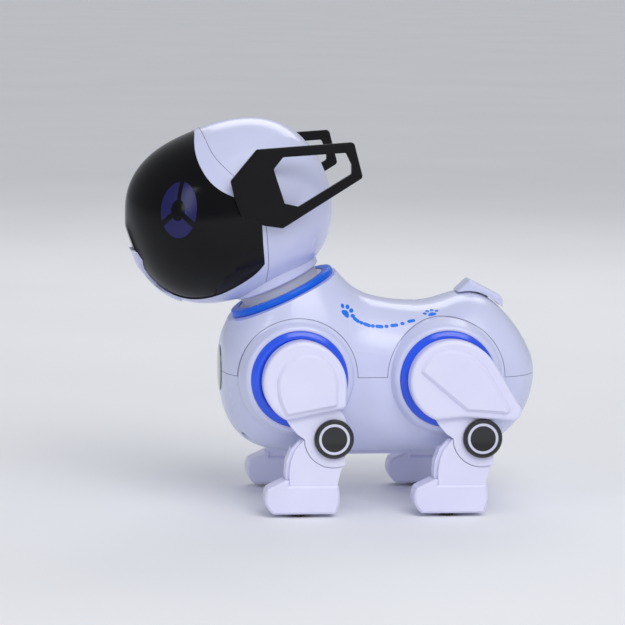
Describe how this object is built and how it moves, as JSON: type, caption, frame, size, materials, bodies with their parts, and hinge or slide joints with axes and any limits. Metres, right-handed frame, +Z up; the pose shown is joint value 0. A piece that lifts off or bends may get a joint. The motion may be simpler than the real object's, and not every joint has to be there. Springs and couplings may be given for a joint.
{
  "type": "robot dog",
  "caption": "Free-standing toy robot dog with a turning head, folding ears, posable legs on wheeled feet and a hollow two-part body.",
  "frame": {"origin": "middle of the length and width, on the floor under the wheels", "axes": "+X towards the nose, +Y towards the left side, +Z up"},
  "size_m": [0.2462, 0.1264, 0.2309],
  "materials": {
    "white_shell": "glossy white moulded shell",
    "white_leg": "white moulded plastic, satin gloss",
    "pale_neck": "pale matt neck tube",
    "white_nylon": "nylon bearing and gear",
    "blue_ring": "glossy royal blue",
    "blue_collar": "glossy bright blue",
    "black_gloss": "glossy black lens",
    "smoked_visor": "polished smoked black visor",
    "blue_light": "translucent blue light guide",
    "black_matte": "matt black",
    "black_satin": "satin black elbow cap",
    "cell_wrap": "shrink wrap",
    "circuit_board": "solder mask",
    "grey_gearbox": "grey gearbox case",
    "steel": "bright steel",
    "rubber_wheel": "dark soft plastic tyre"
  },
  "bodies": {
    "torso": {"body_lower_shell": "white_shell", "body_upper_shell": "white_shell", "collar_ring": "blue_collar", "leg_rings": "blue_ring", "chest_lens": "black_gloss", "battery_door": "white_shell", "battery_cells": "cell_wrap", "battery_tray": "black_matte", "main_board": "circuit_board", "speaker": "black_matte", "charge_socket": "steel", "body_screws": "steel", "front_drive": "grey_gearbox", "rear_drive": "grey_gearbox", "neck_motor": "steel", "neck_bearing": "white_nylon"},
    "head": {"head_shell": "white_shell", "face_frame": "white_shell", "visor": "smoked_visor", "nose": "white_shell", "eye_left": "blue_light", "eye_right": "blue_light", "led_boards": "circuit_board", "neck_tube": "pale_neck", "head_base_ring": "white_shell", "ear_hubs": "black_matte"},
    "neck_pinion": {"neck_pinion": "white_nylon"},
    "ear_left": {"ear_left": "black_matte"},
    "ear_right": {"ear_right": "black_matte"},
    "tail": {"tail": "white_shell"},
    "power_switch": {"power_switch": "black_matte"},
    "upper_front_left": {"upper_leg_front_left": "white_leg", "leg_cover_front_left": "white_leg", "drive_shaft_front_left": "steel", "elbow_disc_front_left": "black_satin"},
    "lower_front_left": {"lower_leg_front_left": "white_leg", "foot_front_left": "white_leg"},
    "wheel_front_left": {"wheel_front_left": "rubber_wheel"},
    "upper_front_right": {"upper_leg_front_right": "white_leg", "leg_cover_front_right": "white_leg", "drive_shaft_front_right": "steel", "elbow_disc_front_right": "black_satin"},
    "lower_front_right": {"lower_leg_front_right": "white_leg", "foot_front_right": "white_leg"},
    "wheel_front_right": {"wheel_front_right": "rubber_wheel"},
    "upper_rear_left": {"upper_leg_rear_left": "white_leg", "leg_cover_rear_left": "white_leg", "drive_shaft_rear_left": "steel", "elbow_disc_rear_left": "black_satin"},
    "lower_rear_left": {"lower_leg_rear_left": "white_leg", "foot_rear_left": "white_leg"},
    "wheel_rear_left": {"wheel_rear_left": "rubber_wheel"},
    "upper_rear_right": {"upper_leg_rear_right": "white_leg", "leg_cover_rear_right": "white_leg", "drive_shaft_rear_right": "steel", "elbow_disc_rear_right": "black_satin"},
    "lower_rear_right": {"lower_leg_rear_right": "white_leg", "foot_rear_right": "white_leg"},
    "wheel_rear_right": {"wheel_rear_right": "rubber_wheel"}
  },
  "joints": [
    {"name": "neck_yaw", "type": "hinge", "parent": "torso", "child": "head", "pos_m": [0.0293, 0, 0.1277], "axis": [0.4305, 0, 0.9026], "range_deg": [-40, 40]},
    {"name": "neck_pinion_spin", "type": "hinge", "parent": "torso", "child": "neck_pinion", "pos_m": [0.00247, 0, 0.1272], "axis": [0.4305, 0, 0.9026], "range_deg": [-121, 121]},
    {"name": "ear_left_fold", "type": "hinge", "parent": "head", "child": "ear_left", "pos_m": [0.0463, 0.055, 0.192], "axis": [0, 1, 0], "range_deg": [0, 60]},
    {"name": "ear_right_fold", "type": "hinge", "parent": "head", "child": "ear_right", "pos_m": [0.0463, -0.055, 0.192], "axis": [0, 1, 0], "range_deg": [0, 60]},
    {"name": "tail_wag", "type": "hinge", "parent": "torso", "child": "tail", "pos_m": [-0.0917, 0, 0.122], "axis": [-0.27, 0, 0.9629], "range_deg": [-12, 12]},
    {"name": "power_slide", "type": "slide", "parent": "torso", "child": "power_switch", "axis": [1, 0, 0], "range_m": [0, 0.004]},
    {"name": "shoulder_left", "type": "hinge", "parent": "torso", "child": "upper_front_left", "pos_m": [0.0233, 0.045, 0.0805], "axis": [0, 1, 0], "range_deg": [-25, 20]},
    {"name": "elbow_left", "type": "hinge", "parent": "upper_front_left", "child": "lower_front_left", "pos_m": [0.0039, 0.052, 0.0468], "axis": [0, 1, 0], "range_deg": [-2, 25]},
    {"name": "wheel_spin_front_left", "type": "hinge", "parent": "lower_front_left", "child": "wheel_front_left", "pos_m": [0.0233, 0.0504, 0.008], "axis": [0, 1, 0], "continuous": true},
    {"name": "shoulder_right", "type": "hinge", "parent": "torso", "child": "upper_front_right", "pos_m": [0.0233, -0.045, 0.0805], "axis": [0, 1, 0], "range_deg": [-25, 20]},
    {"name": "elbow_right", "type": "hinge", "parent": "upper_front_right", "child": "lower_front_right", "pos_m": [0.0039, -0.052, 0.0468], "axis": [0, 1, 0], "range_deg": [-2, 25]},
    {"name": "wheel_spin_front_right", "type": "hinge", "parent": "lower_front_right", "child": "wheel_front_right", "pos_m": [0.0233, -0.0504, 0.008], "axis": [0, 1, 0], "continuous": true},
    {"name": "hip_left", "type": "hinge", "parent": "torso", "child": "upper_rear_left", "pos_m": [-0.0647, 0.045, 0.0805], "axis": [0, 1, 0], "range_deg": [-20, 25]},
    {"name": "knee_left", "type": "hinge", "parent": "upper_rear_left", "child": "lower_rear_left", "pos_m": [-0.0841, 0.052, 0.0468], "axis": [0, 1, 0], "range_deg": [-2, 25]},
    {"name": "wheel_spin_rear_left", "type": "hinge", "parent": "lower_rear_left", "child": "wheel_rear_left", "pos_m": [-0.0647, 0.0504, 0.008], "axis": [0, 1, 0], "continuous": true},
    {"name": "hip_right", "type": "hinge", "parent": "torso", "child": "upper_rear_right", "pos_m": [-0.0647, -0.045, 0.0805], "axis": [0, 1, 0], "range_deg": [-20, 25]},
    {"name": "knee_right", "type": "hinge", "parent": "upper_rear_right", "child": "lower_rear_right", "pos_m": [-0.0841, -0.052, 0.0468], "axis": [0, 1, 0], "range_deg": [-2, 25]},
    {"name": "wheel_spin_rear_right", "type": "hinge", "parent": "lower_rear_right", "child": "wheel_rear_right", "pos_m": [-0.0647, -0.0504, 0.008], "axis": [0, 1, 0], "continuous": true}
  ],
  "couplings": [
    {"joint": "neck_pinion_spin", "follows": "neck_yaw", "ratio": -3}
  ]
}
